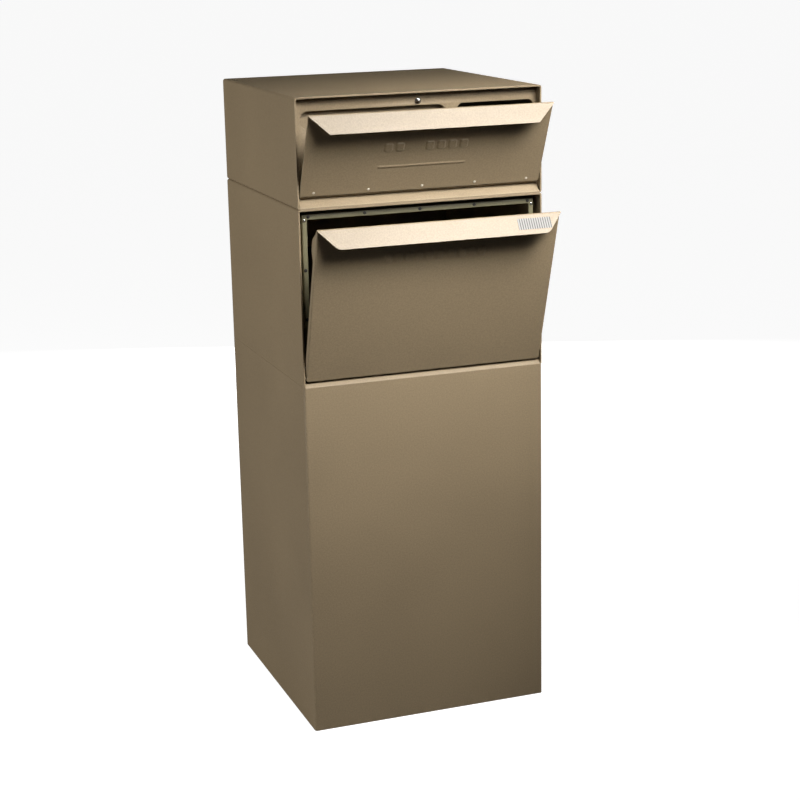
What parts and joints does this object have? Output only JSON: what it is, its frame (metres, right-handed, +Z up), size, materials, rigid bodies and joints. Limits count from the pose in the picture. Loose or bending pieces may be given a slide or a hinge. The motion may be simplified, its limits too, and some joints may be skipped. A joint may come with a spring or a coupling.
{
  "type": "mail and parcel drop cabinet",
  "caption": "Free-standing steel cabinet with a mail flap over two slots, a bottom-hinged parcel drop door, a plain locked vault below and locked doors at the rear.",
  "frame": {"origin": "centre of the four anchor holes, on the ground plane under the base plate", "axes": "+Z up, front faces -Y, +X to the right of a person who looks at the front"},
  "size_m": [0.395, 0.5003, 0.997],
  "materials": {
    "powder_coat": "satin textured powder coat, warm taupe",
    "olive_paint": "satin dark olive paint",
    "zinc_steel": "zinc plated steel",
    "bright_steel": "bright plated steel",
    "black_screws": "black oxide screws",
    "nylon": "natural nylon",
    "brass": "machined brass"
  },
  "bodies": {
    "cabinet": {"flap_hinge_fixed_leaf": "powder_coat", "pedestal_shell": "powder_coat", "base_plate": "powder_coat", "parcel_shell": "powder_coat", "mail_shell": "powder_coat", "mail_face_panel": "powder_coat", "outgoing_box": "powder_coat", "tray_brackets": "powder_coat", "rear_deflector": "powder_coat", "parcel_rear_panel": "powder_coat", "vault_rear_frame": "powder_coat", "mail_rear_frame": "powder_coat", "mail_sill": "powder_coat", "parcel_sill": "powder_coat", "incoming_baffle": "powder_coat", "weld_beads": "powder_coat", "parcel_frame": "olive_paint", "module_bolts": "zinc_steel", "module_nuts": "zinc_steel", "catch_nut": "zinc_steel", "flap_hinge_pin": "zinc_steel", "pivot_studs": "zinc_steel", "tray_rod": "zinc_steel", "vault_fixed_leaf": "zinc_steel", "vault_hinge_pin": "zinc_steel", "mail_fixed_leaf": "zinc_steel", "mail_hinge_pin": "zinc_steel", "flap_catch": "bright_steel", "frame_corner_screws": "bright_steel", "frame_screws": "black_screws"},
    "mail_flap": {"mail_flap": "powder_coat", "flap_hinge_leaf": "powder_coat", "flap_rivets": "powder_coat"},
    "parcel_door": {"parcel_door": "powder_coat", "pivot_ears": "powder_coat", "pivot_bushes": "nylon", "front_link_pin": "zinc_steel"},
    "drop_tray": {"drop_tray": "powder_coat", "tray_lever": "powder_coat", "rear_link_pin": "zinc_steel"},
    "tray_link": {"tray_link": "zinc_steel"},
    "vault_door": {"vault_rear_door": "powder_coat", "vault_door_leaf": "zinc_steel", "vault_lock_body": "bright_steel", "vault_lock_nut": "zinc_steel"},
    "vault_lock": {"vault_lock_plug": "brass", "vault_lock_cam": "zinc_steel", "vault_cam_screw": "zinc_steel"},
    "mail_door": {"mail_rear_door": "powder_coat", "mail_door_leaf": "zinc_steel", "mail_lock_body": "bright_steel", "mail_lock_nut": "zinc_steel"},
    "mail_lock": {"mail_lock_plug": "brass", "mail_lock_cam": "zinc_steel", "mail_cam_screw": "zinc_steel"}
  },
  "joints": [
    {"name": "mail_flap_hinge", "type": "hinge", "parent": "cabinet", "child": "mail_flap", "pos_m": [0, -0.19, 0.85], "axis": [1, 0, 0], "range_deg": [-24.5, 65.5]},
    {"name": "parcel_door_hinge", "type": "hinge", "parent": "cabinet", "child": "parcel_door", "pos_m": [0, -0.191, 0.5765], "axis": [1, 0, 0], "range_deg": [-18, 42]},
    {"name": "drop_tray_hinge", "type": "hinge", "parent": "cabinet", "child": "drop_tray", "pos_m": [0, -0.14, 0.5765], "axis": [1, 0, 0], "range_deg": [-18, 42]},
    {"name": "tray_link_pivot", "type": "hinge", "parent": "parcel_door", "child": "tray_link", "pos_m": [0, -0.20208, 0.61706], "axis": [1, 0, 0], "range_deg": [-42, 18]},
    {"name": "vault_door_hinge", "type": "hinge", "parent": "cabinet", "child": "vault_door", "pos_m": [-0.1906, 0.2015, 0.282], "axis": [0, 0, 1], "range_deg": [0, 115]},
    {"name": "vault_lock_turn", "type": "hinge", "parent": "vault_door", "child": "vault_lock", "pos_m": [0.1583, 0.2, 0.282], "axis": [0, 1, 0], "range_deg": [0, 90]},
    {"name": "mail_door_hinge", "type": "hinge", "parent": "cabinet", "child": "mail_door", "pos_m": [-0.1906, 0.2015, 0.9145], "axis": [0, 0, 1], "range_deg": [0, 115]},
    {"name": "mail_lock_turn", "type": "hinge", "parent": "mail_door", "child": "mail_lock", "pos_m": [0.1583, 0.2, 0.9145], "axis": [0, 1, 0], "range_deg": [0, 90]}
  ],
  "couplings": [
    {"joint": "drop_tray_hinge", "follows": "parcel_door_hinge", "ratio": 1},
    {"joint": "tray_link_pivot", "follows": "parcel_door_hinge", "ratio": -1}
  ]
}
